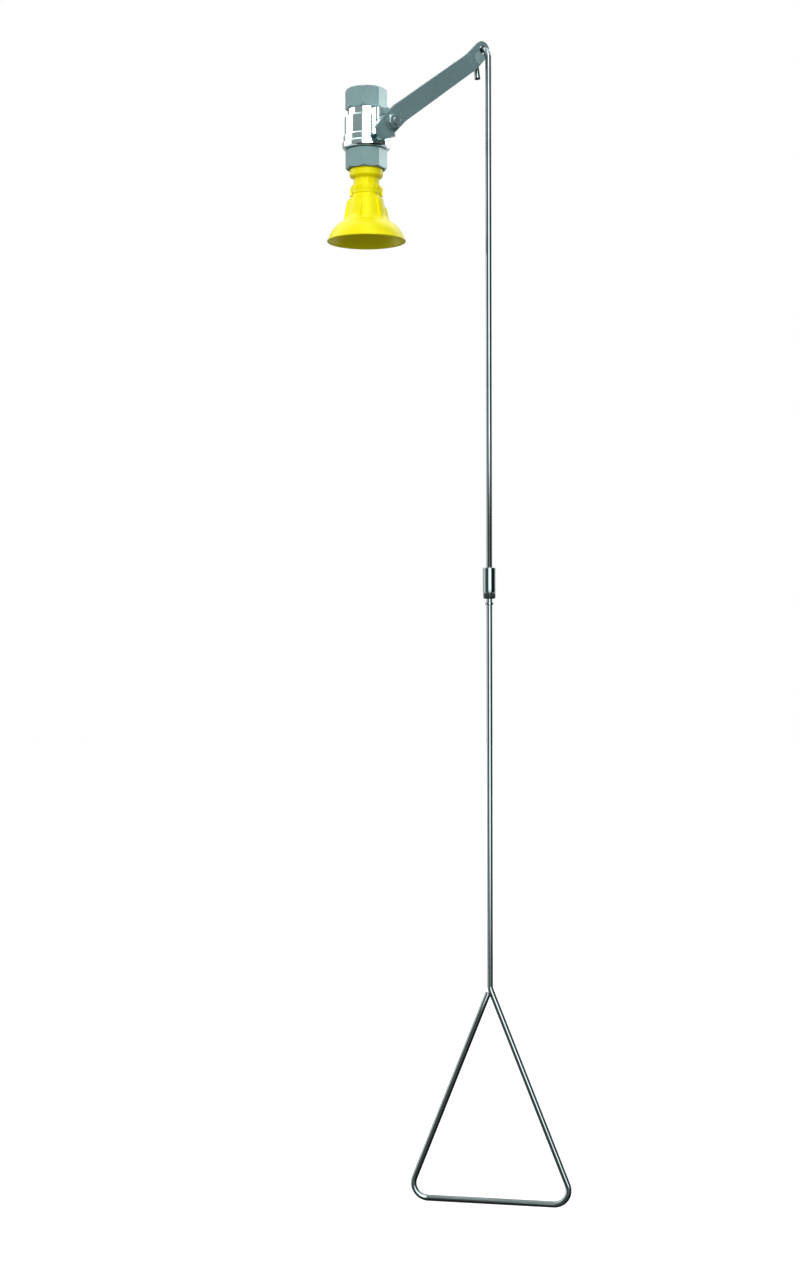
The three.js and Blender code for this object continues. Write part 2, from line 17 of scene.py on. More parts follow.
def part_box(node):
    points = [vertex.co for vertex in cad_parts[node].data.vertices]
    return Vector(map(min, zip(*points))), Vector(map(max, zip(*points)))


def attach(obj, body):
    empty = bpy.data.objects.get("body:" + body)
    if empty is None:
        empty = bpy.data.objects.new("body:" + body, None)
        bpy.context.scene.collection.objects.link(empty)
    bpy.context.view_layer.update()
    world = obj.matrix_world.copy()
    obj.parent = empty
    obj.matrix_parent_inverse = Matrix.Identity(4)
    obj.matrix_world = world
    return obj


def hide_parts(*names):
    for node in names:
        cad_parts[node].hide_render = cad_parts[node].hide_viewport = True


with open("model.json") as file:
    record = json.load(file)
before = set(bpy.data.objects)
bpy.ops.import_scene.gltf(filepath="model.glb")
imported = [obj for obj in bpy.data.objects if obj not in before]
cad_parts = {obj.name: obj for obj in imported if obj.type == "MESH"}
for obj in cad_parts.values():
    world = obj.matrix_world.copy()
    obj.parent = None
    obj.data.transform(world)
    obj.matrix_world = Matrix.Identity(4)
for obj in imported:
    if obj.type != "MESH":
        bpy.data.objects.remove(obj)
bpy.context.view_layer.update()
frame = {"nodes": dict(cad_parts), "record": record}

MM = 0.001
scene = bpy.context.scene
scene.view_settings.view_transform = "Standard"
joints = {joint["name"]: joint for joint in frame["record"]["behaviour"]["joints"]}

# %% [markdown]
# ## Where things are
# The origin is the middle of the valve's upper end face. The joints say where the stem and
# the hook hole are, and the boxes of the nodes give the heights of everything else, so that the
# shapes below are only ever drawn round places that the working model holds.

# %% Read places and sizes from the frame, in millimetres


def low(node):
    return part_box(node)[0] / MM


def high(node):
    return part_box(node)[1] / MM


stem_z = joints["lever_turn"]["pos_m"][2] / MM
hook_hole = Vector(joints["rod_hang"]["pos_m"]) / MM
rod_line = Vector(joints["handle_turn"]["pos_m"]) / MM
valve_bottom = low("valve_end_cap").z
body_bottom = low("valve_body").z
lever_length = Vector((hook_hole.x, hook_hole.z - stem_z)).length
lever_tilt = math.atan2(hook_hole.z - stem_z, hook_hole.x)
print("stem", stem_z, "hook hole", tuple(round(v, 1) for v in hook_hole))

# %% [markdown]
# ## Camera
# The shower is seen level with the middle of its rod and from two metres away. The camera stands
# to the left of the way that the stem points, so the lever reaches out to the right.

# %% Set up the camera
CAMERA_DISTANCE = 2000
CAMERA_AZIMUTH = math.radians(-38)
CAMERA_SIDE = 32.7
CAMERA_HEIGHT = -550.1
LENS = 56.25
CAMERA_ROLL = math.radians(-0.12)

camera = bpy.data.objects.new("camera", bpy.data.cameras.new("camera"))
scene.collection.objects.link(camera)
scene.camera = camera
camera.data.lens = LENS
back = Vector((math.sin(CAMERA_AZIMUTH), -math.cos(CAMERA_AZIMUTH), 0))
right = Vector((math.cos(CAMERA_AZIMUTH), math.sin(CAMERA_AZIMUTH), 0))
camera.location = (back * CAMERA_DISTANCE + right * CAMERA_SIDE + Vector((0, 0, CAMERA_HEIGHT))) * MM
camera.rotation_euler = back.to_track_quat("Z", "Y").to_euler()
camera.rotation_euler.rotate_axis("Z", CAMERA_ROLL)
print("camera at", tuple(round(v, 3) for v in camera.location))

# %% [markdown]
# ## Shader maths in Python
# A finish is a small graph of nodes. Written by hand it is long, so one class wraps a socket and
# turns `1 - mask` or `noise * 0.2 + 0.5` into Math nodes, and one method adds any other node.

# %% Wrap sockets so that expressions add nodes


class Signal:
    def __init__(self, tree, socket):
        self.tree, self.socket = tree, socket

    def maths(self, operation, *values):
        node = self.tree.nodes.new("ShaderNodeMath")
        node.operation = operation
        for place, value in enumerate(values):
            plug(self.tree, value, node.inputs[place])
        return Signal(self.tree, node.outputs[0])

    def __add__(self, other):
        return self.maths("ADD", self, other)

    __radd__ = __add__

    def __mul__(self, other):
        return self.maths("MULTIPLY", self, other)

    __rmul__ = __mul__

    def __sub__(self, other):
        return self.maths("SUBTRACT", self, other)

    def __rsub__(self, other):
        return self.maths("SUBTRACT", other, self)


def plug(tree, value, socket):
    """Links a Signal to a socket, or sets a plain value on it."""
    if isinstance(value, Signal):
        tree.links.new(value.socket, socket)
    else:
        socket.default_value = value


class Graph:
    def __init__(self, tree):
        self.tree = tree
        tree.nodes.clear()

    def add(self, kind, settings=None, output=0, **inputs):
        """Adds any node: its settings first, then values or links for its sockets.

        A socket goes by its name, or by i and its number where names repeat.
        """
        node = self.tree.nodes.new(kind)
        for name, value in (settings or {}).items():
            setattr(node, name, value)
        for name, value in inputs.items():
            number = name[1:]
            key = int(number) if name[0] == "i" and number.isdigit() else name.replace("_", " ")
            plug(self.tree, value, node.inputs[key])
        return Signal(self.tree, node.outputs[output]) if node.outputs else node


print("a Signal wraps a socket, and a Graph adds the nodes")

# %% [markdown]
# ## Finishes
# Every finish starts from Object coordinates, so that its grain sits still on the piece. A noise
# stretched along one axis reads as brushing, a fine even one as casting or moulding texture, and
# a slow one as the cloudy tarnish that hands and steam leave.

# %% Start a finish with its shared parts


class Finish(Graph):
    def __init__(self, name):
        self.material = bpy.data.materials.new(name)
        self.material.use_nodes = True
        super().__init__(self.material.node_tree)
        self.place = self.add("ShaderNodeTexCoord", output="Object")

    def noise(self, scale, detail=4.0, stretch=(1, 1, 1), roughness=0.5):
        place = self.add("ShaderNodeMapping", i0=self.place, Scale=stretch)
        return self.add("ShaderNodeTexNoise", i0=place, Scale=scale, Detail=detail, Roughness=roughness)

    def blend(self, mask, first, second):
        """A colour that goes from first to second as the mask goes from 0 to 1."""
        mix = self.tree.nodes.new("ShaderNodeMix")
        mix.data_type = "RGBA"
        plug(self.tree, mask, mix.inputs[0])
        plug(self.tree, first, mix.inputs[6])
        plug(self.tree, second, mix.inputs[7])
        return Signal(self.tree, mix.outputs[2])

    def window(self, signal, start, end):
        """Rises smoothly from 0 at start to 1 at end."""
        settings = {"interpolation_type": "SMOOTHSTEP"}
        return self.add("ShaderNodeMapRange", settings, Value=signal, From_Min=start, From_Max=end)

    def bump(self, height, distance, strength):
        return self.add("ShaderNodeBump", Height=height, Distance=distance, Strength=strength)

    def surface(self, **inputs):
        shader = self.add("ShaderNodeBsdfPrincipled", **inputs)
        self.add("ShaderNodeOutputMaterial", Surface=shader)
        return self.material


def shade(red, green, blue):
    return (red, green, blue, 1.0)


print("a finish is a material that starts from Object coordinates")

# %% [markdown]
# Metals. The valve's octagonal ends are shot-blasted before plating, so they are satin, while its
# barrel is turned and polished. The lever is satin stainless strip, and the rods are mirror bright.

# %% Make the metal finishes


EVEN = (1, 1, 1)
HEAVY, MEDIUM, FINE, POLISHED, MIRROR = 0.00002, 0.00001, 0.000003, 0.000002, 0.000001


def plain(finish, color):
    return color


def metal(
        name, clean, dull, gloss, grain_scale, stretch, grain_depth, metallic=1.0, sheen=0.5, spot=plain):
    """A plated or bare metal: colour clouds, uneven polish, fine grain and a few hairline scratches.

    The gloss is the roughness of the clean metal, and the grain's depth is in metres.
    """
    finish = Finish(name)
    clean, dull = spot(finish, clean), spot(finish, dull)
    clouds = finish.noise(35.0, 3.0)
    grain = finish.noise(grain_scale, 6.0, stretch, 0.65)
    scratch_noise = finish.noise(260.0, 2.0, (0.06, 1.0, 0.35))
    scratches = finish.window(scratch_noise, 0.66, 0.70)
    color = finish.blend(finish.window(clouds, 0.35, 0.75), clean, dull)
    rough = gloss + grain * (gloss * 0.5) + scratches * (gloss * 0.5) + clouds * 0.03
    height = grain - scratches * 0.5
    normal = finish.bump(height, grain_depth, 0.35)
    return finish.surface(
        Base_Color=color, Metallic=metallic, Roughness=rough, Normal=normal, Specular_IOR_Level=sheen)


satin_nickel = metal(
    "satin_nickel", shade(0.158, 0.25, 0.254), shade(0.146, 0.23, 0.234), 0.34, 900.0, EVEN, HEAVY,
    metallic=0.0, sheen=0.2)
bright_nickel = metal(
    "bright_nickel", shade(0.60, 0.76, 0.76), shade(0.55, 0.70, 0.70), 0.07, 500.0, (1, 1, 14), POLISHED)
nut_steel = metal(
    "nut_steel", shade(0.24, 0.36, 0.375), shade(0.20, 0.30, 0.31), 0.16, 900.0, EVEN, MEDIUM,
    metallic=0.45)
mirror_steel = metal(
    "mirror_steel", shade(0.115, 0.14, 0.14), shade(0.10, 0.125, 0.125), 0.05, 800.0, (1, 1, 0.05),
    MIRROR)
black_oxide = metal(
    "black_oxide", shade(0.006, 0.013, 0.013), shade(0.009, 0.017, 0.017), 0.42, 900.0, EVEN, MEDIUM,
    metallic=0.0, sheen=0.2)
hard_chrome = metal(
    "hard_chrome", shade(0.86, 0.87, 0.87), shade(0.80, 0.81, 0.82), 0.06, 700.0, EVEN, FINE)
print("metals", [m.name for m in (satin_nickel, bright_nickel, nut_steel, mirror_steel, black_oxide)])

# %% [markdown]
# The lever's strip is satin too, brushed along its length. Just below the hook hole a pale patch is
# painted into its colour: a painted reflection of the hook in the lever, not wear. The patch is a
# distance from a point, roughened by a noise.

# %% Make the lever's finish
# Centre and size of the painted reflection of the hook, a lighter patch in the lever's colour.
hook_reflection_centre = (Vector((hook_hole.x - 3.4, 0, hook_hole.z - 8.5)) * MM)[:]
REFLECTION_INNER, REFLECTION_OUTER, REFLECTION_WANDER = 0.0064, 0.0072, 0.0008


def painted_hook_reflection(finish, color):
    """Lightens a colour inside the patch: a painted reflection of the hook on the lever."""
    flat = finish.add("ShaderNodeVectorMath", {"operation": "MULTIPLY"}, i0=finish.place, i1=(1, 0, 1))
    away = finish.add("ShaderNodeVectorMath", {"operation": "DISTANCE"}, 1, i0=flat, i1=hook_reflection_centre)
    edge = away + finish.noise(300.0) * REFLECTION_WANDER
    reflection_color = shade(color[0] * 1.75, color[1] * 1.6, color[2] * 1.55)
    return finish.blend(finish.window(edge, REFLECTION_OUTER, REFLECTION_INNER), color, reflection_color)


# The lever's colour carries a painted reflection of the hook, just below the hook hole.
lever_satin = metal(
    "lever_satin", shade(0.168, 0.27, 0.284), shade(0.154, 0.248, 0.262), 0.32, 700.0, (0.2, 1, 1), MEDIUM,
    metallic=0.0, sheen=0.25, spot=painted_hook_reflection)
print("patch centred at", hook_reflection_centre)

# %% [markdown]
# Plastics and rubber. The head is moulded in one bright yellow, so its colour lives in the plastic:
# a little subsurface light softens it, and a faint orange-peel texture breaks up the highlights.

# %% Make the moulded finishes


def moulded(name, clean, aged, gloss, peel_scale, peel_depth, glow=0.0):
    finish = Finish(name)
    clouds = finish.noise(22.0, 3.0)
    peel = finish.noise(peel_scale, 2.0)
    specks = finish.window(finish.noise(1400.0, 1.0), 0.72, 0.76)
    color = finish.blend(finish.window(clouds, 0.4, 0.8), clean, aged)
    rough = gloss + peel * 0.06 + specks * 0.1
    normal = finish.bump(peel, peel_depth, 0.4)
    return finish.surface(
        Base_Color=color, Roughness=rough, Normal=normal, Specular_IOR_Level=0.2,
        Subsurface_Weight=glow, Subsurface_Radius=(0.004, 0.003, 0.001))


yellow_abs = moulded(
    "yellow_abs", shade(0.93, 0.86, 0.0), shade(0.88, 0.80, 0.0), 0.34, 420.0, 0.00004, glow=0.1)
white_ptfe = moulded(
    "white_ptfe", shade(0.86, 0.86, 0.83), shade(0.80, 0.80, 0.76), 0.42, 300.0, 0.00002, glow=0.2)
acetal = moulded(
    "acetal", shade(0.82, 0.82, 0.77), shade(0.76, 0.76, 0.70), 0.36, 300.0, 0.00002, glow=0.15)
black_rubber = moulded(
    "black_rubber", shade(0.022, 0.022, 0.023), shade(0.04, 0.04, 0.038), 0.62, 900.0, 0.00003)
print("moulded", yellow_abs.name, white_ptfe.name, acetal.name, black_rubber.name)

# %% [markdown]
# ## Turned pieces
# Most of the valve and the head is round, as it comes off a lathe or out of a round mould. Half of
# its outline is drawn as (radius, height) points and spun once round Z. Corners can be given a
# radius, and a swelling stretch is an arc between two points.

# %% Draw outlines and spin them
TURN_STEPS = 96
CORNER_STEPS = 5
MERGE = 0.002


def arc(start, end, bulge, steps):
    """Points of a circular arc from start to end, standing off the straight line by bulge."""
    first, last = Vector(start), Vector(end)
    chord = last - first
    aside = Vector((-chord.y, chord.x)).normalized()
    half = chord.length / 2
    radius = (half * half + bulge * bulge) / (2 * bulge)
    centre = (first + last) / 2 + aside * (bulge - radius)
    spoke = first - centre
    sweep = 2 * math.asin(max(-1.0, min(1.0, half / radius)))
    points = []
    for step in range(steps + 1):
        turn = -sweep * step / steps
        rotated = Matrix.Rotation(turn, 2) @ spoke
        points.append(tuple(centre + rotated))
    return points


def fillet(outline, closed):
    """Points given as (radius, height, corner) have that corner rounded."""
    result = []
    count = len(outline)
    for place, point in enumerate(outline):
        if len(point) == 2 or (not closed and place in (0, count - 1)):
            result.append(Vector(point[:2]))
            continue
        here = Vector(point[:2])
        before = (Vector(outline[place - 1][:2]) - here)
        after = (Vector(outline[(place + 1) % count][:2]) - here)
        half = before.angle(after) / 2
        setback = min(point[2] / math.tan(half), before.length * 0.49, after.length * 0.49)
        radius = setback * math.tan(half)
        centre = here + (before.normalized() + after.normalized()).normalized() * radius / math.sin(half)
        start = here + before.normalized() * setback - centre
        end = here + after.normalized() * setback - centre
        for step in range(CORNER_STEPS + 1):
            result.append(centre + start.slerp(end, step / CORNER_STEPS) * radius)
    return result


def turned(outline, closed=True, steps=TURN_STEPS):
    """A bmesh of an outline spun round Z. An open outline starts and ends on the axis."""
    bm = bmesh.new()
    points = fillet(outline, closed)
    verts = [bm.verts.new((p.x * MM, 0, p.y * MM)) for p in points]
    edges = [bm.edges.new(pair) for pair in zip(verts, verts[1:])]
    if closed:
        edges.append(bm.edges.new((verts[-1], verts[0])))
    bmesh.ops.spin(
        bm, geom=verts + edges, cent=(0, 0, 0), axis=(0, 0, 1), angle=math.tau, steps=steps,
        use_merge=True)
    bmesh.ops.remove_doubles(bm, verts=bm.verts, dist=MERGE * MM)
    bmesh.ops.recalc_face_normals(bm, faces=bm.faces)
    return bm


print("a full turn has", TURN_STEPS, "steps, and a rounded corner", CORNER_STEPS)

# %% [markdown]
# Each finished shape becomes an object at the origin. It rides on the body of the node that it
# stands for, and that node is hidden. Sharp edges stay sharp, and everything else shades smooth.

# %% Turn a shape into a finished piece
bodies = frame["record"]["behaviour"]["bodies"]
body_of_node = {node: body for body, nodes in bodies.items() for node in nodes}


def as_object(name, bm):
    mesh = bpy.data.meshes.new(name)
    bm.to_mesh(mesh)
    bm.free()
    piece = bpy.data.objects.new(name, mesh)
    scene.collection.objects.link(piece)
    return piece


def finished(piece, node, *materials, sharp=32, edge=0.0):
    """Gives a shape its finish, softens its edges and lets it stand for a node."""
    for material in materials:
        piece.data.materials.append(material)
    for face in piece.data.polygons:
        face.use_smooth = True
    if edge:
        soften = piece.modifiers.new("soft_edges", "BEVEL")
        soften.width, soften.segments = edge * MM, 3
        soften.limit_method, soften.angle_limit = "ANGLE", math.radians(sharp)
        soften.use_clamp_overlap = True
        soften.harden_normals = False
        even = piece.modifiers.new("even_shading", "WEIGHTED_NORMAL")
        even.keep_sharp = True
    piece.data.set_sharp_from_angle(angle=math.radians(sharp))
    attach(piece, body_of_node[node])
    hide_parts(node)
    print(piece.name, "faces", len(piece.data.polygons))
    return piece


def combine(piece, tool, operation):
    """Joins, cuts or keeps the overlap of two closed shapes, and throws the tool away."""
    change = piece.modifiers.new("shape", "BOOLEAN")
    change.object, change.operation, change.solver = tool, operation, "EXACT"
    depsgraph = bpy.context.evaluated_depsgraph_get()
    shaped = bpy.data.meshes.new_from_object(piece.evaluated_get(depsgraph))
    piece.modifiers.clear()
    piece.data = shaped
    bpy.data.objects.remove(tool)
    return piece


# %% [markdown]
# ## Valve body
# The upper end is an octagon for the spanner. A lathe tool has run round its corners, which leaves
# the curved chamfers, so the octagon is kept only where it overlaps a turned blank. The barrel,
# the joint ring and the neck are one turning, and the stem's pad grows out of the barrel's side.

# %% Octagons and hexagons with turned corners


LAND = 0.5


def prism(flats, top, bottom, sides, chamfer):
    """A spanner form: an even prism whose corners are turned off at both ends.

    The blank and its tool cross each other everywhere, so that the overlap is always clean.
    """
    corner = flats / 2 / math.cos(math.pi / sides)
    bm = bmesh.new()
    bmesh.ops.create_cone(
        bm, cap_ends=True, segments=sides, radius1=corner * MM, radius2=corner * MM,
        depth=(top - bottom + 2) * MM)
    bmesh.ops.translate(bm, verts=bm.verts, vec=(0, 0, (top + bottom) / 2 * MM))
    blank = as_object("blank", bm)
    face = flats / 2 - LAND
    reach = corner + 0.05
    tool = as_object("turning", turned([
        (0, bottom), (face, bottom), (reach, bottom + chamfer), (reach, top - chamfer),
        (face, top), (0, top)], closed=False))
    return combine(blank, tool, "INTERSECT")


def raised(name, outline, low_z, high_z):
    """A flat outline of (x, y) points, raised along Z."""
    bm = bmesh.new()
    face = bm.faces.new([bm.verts.new((x * MM, y * MM, low_z * MM)) for x, y in outline])
    copied = bmesh.ops.extrude_face_region(bm, geom=[face])["geom"]
    tops = [item for item in copied if isinstance(item, bmesh.types.BMVert)]
    bmesh.ops.translate(bm, verts=tops, vec=(0, 0, (high_z - low_z) * MM))
    bmesh.ops.recalc_face_normals(bm, faces=bm.faces)
    return as_object(name, bm)


def cube(low_corner, high_corner):
    bm = bmesh.new()
    bmesh.ops.create_cube(bm, size=1)
    low_corner, high_corner = Vector(low_corner), Vector(high_corner)
    bmesh.ops.scale(bm, verts=bm.verts, vec=(high_corner - low_corner) * MM)
    bmesh.ops.translate(bm, verts=bm.verts, vec=(low_corner + high_corner) / 2 * MM)
    return as_object("cube", bm)


def to_side(piece):
    """Turns a shape drawn along Z so that it lies along the stem, at the stem's height."""
    turn = Matrix.Translation((0, 0, stem_z * MM)) @ Matrix.Rotation(math.pi / 2, 4, "X")
    piece.data.transform(turn)
    return piece


print("shapes: prism, raised, cube and to_side")

# %% [markdown]
# The body's outside is the octagon, the turned barrel below it, and the pad with its round boss,
# joined one after the other. Each shape runs a little way into the next, as the forging does.

# %% Build the body's outside
octagon_flats = (high("valve_end_cap").x * 2) * math.cos(math.pi / 8)
OCTAGON_CHAMFER = 1.6
barrel_radius = 21.6
joint_ring_radius = high("valve_body").x
neck_radius = 18.4
upper_end_bottom = -20.5
pad_front = 31.5

valve_body = prism(octagon_flats, 0, upper_end_bottom, 8, OCTAGON_CHAMFER)
valve_body.name = "valve_body_shell"
barrel_shape = [
    (0, body_bottom), (22.4, body_bottom, 0.8), (joint_ring_radius, body_bottom + 1.6, 1.6),
    (joint_ring_radius, body_bottom + 6, 0.8), (22.75, body_bottom + 6.9, 0.5),
    (22.75, body_bottom + 13, 0.6), (barrel_radius, body_bottom + 13.8, 0.4),
    (barrel_radius, -28.6, 0.5), (20.4, -27.5, 0.5), (neck_radius, -27.5, 1.2),
    (neck_radius, upper_end_bottom + 1), (0, upper_end_bottom + 1)]
combine(valve_body, as_object("barrel", turned(barrel_shape, closed=False)), "UNION")


def pad_block(half_width, depth, low_z, high_z):
    """The pad on the stem side: a plan outline with rounded front corners, raised along Z."""
    corner = arc((4 - half_width, -depth), (-half_width, 3.5 - depth), -0.9, 6)
    mirrored = [(-x, y) for x, y in reversed(corner)]
    plan = [(-half_width, 0), (half_width, 0), *mirrored, *corner]
    return raised("pad", plan, stem_z + low_z, stem_z + high_z)


combine(valve_body, pad_block(9.5, pad_front, -9.8, 16.2), "UNION")
boss = [(0, 5), (8.9, 5), (8.9, 34, 0.8), (0, 34)]
combine(valve_body, to_side(as_object("boss", turned(boss, closed=False))), "UNION")
print("outside of the valve body", len(valve_body.data.polygons), "faces")

# %% [markdown]
# Two lugs beside the gland stop the lever at the ends of its quarter turn. They are cast with the
# pad, one above the stem and one below, and the lever's bent tab runs between them.

# %% Add the stop lugs
LUG_START, LUG_END = 20, 37
lug_outline = [(-3.2, 9.4), (-3.2, 14.6), (-2.2, 15.3), (-0.5, 15.3), (3, 12.8), (8, 12.4), (8, 9.4)]


def lug(side):
    return to_side(raised("lug", [(x, side * y) for x, y in lug_outline], LUG_START, LUG_END))


combine(valve_body, lug(1), "UNION")
combine(valve_body, lug(-1), "UNION")
print("with lugs", len(valve_body.data.polygons))

# %% [markdown]
# The inside is drawn as the solid that the cutters sweep: the threaded inlet, the waterway, the
# seat pocket and the ball chamber. Pipe threads are cut as a row of even grooves, which at this
# size reads the same as the real helix.

# %% Cut the waterway and the stem passage
THREAD_PITCH = 2.31
WATERWAY, SEAT, SEAT_DEPTH, CHAMBER = 10.8, 15, 15.5, 17.6


def thread(radius, depth, start, end, pitch=THREAD_PITCH):
    """A zigzag from start to end that stands between radius and radius + depth."""
    turns = max(1, int(abs(end - start) / pitch))
    step = (end - start) / turns
    points = []
    for turn in range(turns):
        z = start + step * turn
        points += [(radius, z), (radius + depth, z + step * 0.42), (radius + depth, z + step * 0.58)]
    return points + [(radius, end)]


chamber_top, pocket_top = stem_z + 11, stem_z + SEAT_DEPTH
waterway = [(0, body_bottom - 2), (19, body_bottom - 2), (19, -52), (CHAMBER, -52),
            (CHAMBER, chamber_top), (SEAT, chamber_top), (SEAT, pocket_top), (WATERWAY, pocket_top),
            (WATERWAY, -19), *thread(15.2, 0.9, -17, -1.4), (17.6, 1), (0, 1)]
combine(valve_body, as_object("waterway", turned(waterway, closed=False)), "DIFFERENCE")
passage = [(0, 10), (7.4, 10), (7.4, 22.7), (4.9, 22.7), (4.9, 23.5), (6.8, 23.5), (6.8, 26),
           (4.9, 26), (4.9, 27), (7.3, 27), (7.3, 35), (0, 35)]
combine(valve_body, to_side(as_object("passage", turned(passage, closed=False))), "DIFFERENCE")
finished(valve_body, "valve_body", satin_nickel, bright_nickel, edge=0.35)

# %% [markdown]
# The barrel and the pad's flanks are polished. The octagon, the pad's front, the boss and the lugs
# are satin. The faces are sorted by where they lie and by the way they face.

# %% Sort the faces of the valve body into its two finishes
PAD_ROOT = 24
for face in valve_body.data.polygons:
    middle = face.center / MM
    outside = math.hypot(middle.x, middle.y) > CHAMBER + 0.2
    on_barrel = upper_end_bottom > middle.z > body_bottom - 1 and outside
    faces_front = middle.y < -PAD_ROOT and face.normal.y < -0.9
    on_front = middle.y < 0.3 - pad_front or faces_front
    face.material_index = 1 if on_barrel and not on_front else 0
print("polished faces", sum(face.material_index for face in valve_body.data.polygons))

# %% [markdown]
# ## End cap
# The lower end is the same octagon. A spigot on it closes the ball chamber, and its own thread
# takes the shower head.

# %% Build the end cap
cap_top = high("valve_end_cap").z
shoulder = body_bottom - 0.3
end_cap = prism(octagon_flats, shoulder, valve_bottom, 8, OCTAGON_CHAMFER)
end_cap.name = "valve_end_cap_shell"
spigot = [(0, cap_top), (18.6, cap_top, 0.5), (18.6, shoulder - 2), (0, shoulder - 2)]
combine(end_cap, as_object("spigot", turned(spigot, closed=False)), "UNION")
outlet = [(0, valve_bottom - 1), (18.9, valve_bottom - 1),
          (16.9, valve_bottom + 1), (16.9, valve_bottom + 15.5), (WATERWAY, valve_bottom + 15.5),
          (WATERWAY, stem_z - SEAT_DEPTH), (SEAT, stem_z - SEAT_DEPTH), (SEAT, cap_top + 1),
          (0, cap_top + 1)]
combine(end_cap, as_object("outlet", turned(outlet, closed=False)), "DIFFERENCE")
finished(end_cap, "valve_end_cap", satin_nickel, edge=0.35)

# %% [markdown]
# ## Lever
# A press brake folds the lever from flat strip: hub plate, long slanting arm, and end plate, with a
# stop tab folded back at the hub. Feeding and folding a rectangle does the same with extrude and
# spin, and the very same two moves bend the round rods later.

# %% Feed and bend a section


class Bender:
    """Pushes a closed ring of edges forward, and bends it within one plane."""

    def __init__(self, ring, start, heading, plane):
        self.bm = bmesh.new()
        self.at, self.heading, self.plane = Vector(start), Vector(heading), Vector(plane)
        side = self.plane.cross(self.heading)
        verts = [self.bm.verts.new((self.at + self.plane * x + side * y) * MM) for x, y in ring]
        self.front = [self.bm.edges.new((verts[i - 1], verts[i])) for i in range(len(verts))]

    def feed(self, length):
        step = self.heading * length
        made = bmesh.ops.extrude_edge_only(self.bm, edges=self.front)["geom"]
        verts = [item for item in made if isinstance(item, bmesh.types.BMVert)]
        self.front = [item for item in made if isinstance(item, bmesh.types.BMEdge)]
        bmesh.ops.translate(self.bm, verts=verts, vec=step * MM)
        self.at += step
        return self

    def bend(self, degrees, radius, steps=12):
        turn = math.radians(degrees)
        axis = self.plane * (1 if turn > 0 else -1)
        centre = self.at + axis.cross(self.heading) * radius
        verts = list({vert for edge in self.front for vert in edge.verts})
        made = bmesh.ops.spin(
            self.bm, geom=verts + self.front, cent=centre * MM, axis=axis, angle=abs(turn),
            steps=steps, use_merge=False, use_duplicate=False)["geom_last"]
        self.front = [item for item in made if isinstance(item, bmesh.types.BMEdge)]
        rotation = Matrix.Rotation(turn, 3, self.plane)
        self.at = centre + rotation @ (self.at - centre)
        self.heading = rotation @ self.heading
        return self

    def close(self, edge=0.0):
        """Caps both ends, and rounds the rims of the caps."""
        caps = bmesh.ops.holes_fill(self.bm, edges=self.bm.edges, sides=0)["faces"]
        if edge:
            rims = [rim for cap in caps for rim in cap.edges]
            bmesh.ops.bevel(
                self.bm, geom=rims, offset=edge * MM, segments=3, profile=0.5, affect="EDGES",
                material=-1)
        bmesh.ops.recalc_face_normals(self.bm, faces=self.bm.faces)
        return self.bm


print("a Bender feeds, bends and closes")

# %% [markdown]
# The strip starts at the end of the stop tab, passes the hub, slants outwards and ends in the plate
# with the hook hole. Each fold takes a little off the straight stretches beside it, so the lengths
# that are fed are the distances between the folds less those setbacks.

# %% Fold the lever's strip
TAB_LENGTH = 6
TAB_FOLD = 60
SPARE_TIP = 12
lever_plane = 40.5
plate = 3.0
tip_width = 17.0
hub_width = 19.5
near_bend, far_bend = 15.0, 80.0
joggle = -hook_hole.y - lever_plane
fold = math.degrees(math.atan2(joggle, far_bend - near_bend))
slope = math.hypot(joggle, far_bend - near_bend)
fold_radius = 6.0
setback = fold_radius * math.tan(math.radians(fold) / 2)
curl_radius, curl_start = 9.0, -13.2
curl_setback = curl_radius * math.tan(math.radians(TAB_FOLD / 2))

rectangle = [(-15, -plate / 2), (15, -plate / 2), (15, plate / 2), (-15, plate / 2)]
tab_heading = Vector((0.5, -math.sqrt(0.75), 0))
tab_start = Vector((curl_start, -lever_plane, 0)) - tab_heading * TAB_LENGTH
strip = Bender(rectangle, tab_start, tab_heading, (0, 0, 1))
strip.feed(TAB_LENGTH - curl_setback).bend(TAB_FOLD, curl_radius)
strip.feed(near_bend - curl_start - curl_setback - setback).bend(-fold, fold_radius)
strip.feed(slope - 2 * setback).bend(fold, fold_radius)
strip.feed(lever_length + SPARE_TIP - far_bend - setback)
lever = as_object("lever_arm", strip.close())
print("fold", round(fold, 1), "degrees, arm", round(slope, 1), "mm")

# %% [markdown]
# The strip is wider than the lever. A punch trims it to its outline: a slight taper, a round end
# and a narrower tab. Then the hook hole and the two-flatted stem hole are cut.

# %% Trim and drill the lever
HOOK_HOLE_RADIUS = 4.2
STEM_HOLE_RADIUS = 4.9
STEM_HOLE_FLAT = 3.8


def punch(outline, near, far):
    """A cutter with a flat outline of (x, y) points, laid along the stem's direction."""
    tool = raised("punch", outline, near, far)
    tool.data.transform(Matrix.Rotation(math.pi / 2, 4, "X"))
    return tool


half_tip, half_hub = tip_width / 2, hub_width / 2
round_tip = [(lever_length + half_tip * math.sin(a), -half_tip * math.cos(a))
             for a in (math.pi * step / 24 for step in range(25))]
tab_edge = [(-19, 3.4), (-17.6, 4.6), (-16.4, 6.2), (-15.4, 7.3), (-14, 8.1), (-7, half_hub),
            (near_bend, half_hub)]
trim = [(x, -y) for x, y in tab_edge] + round_tip + tab_edge[::-1]
combine(lever, punch(trim, 20, 110), "INTERSECT")


def circle_points(radius, centre=0.0, steps=32):
    turns = (math.tau * step / steps for step in range(steps))
    return [(centre + radius * math.cos(a), radius * math.sin(a)) for a in turns]


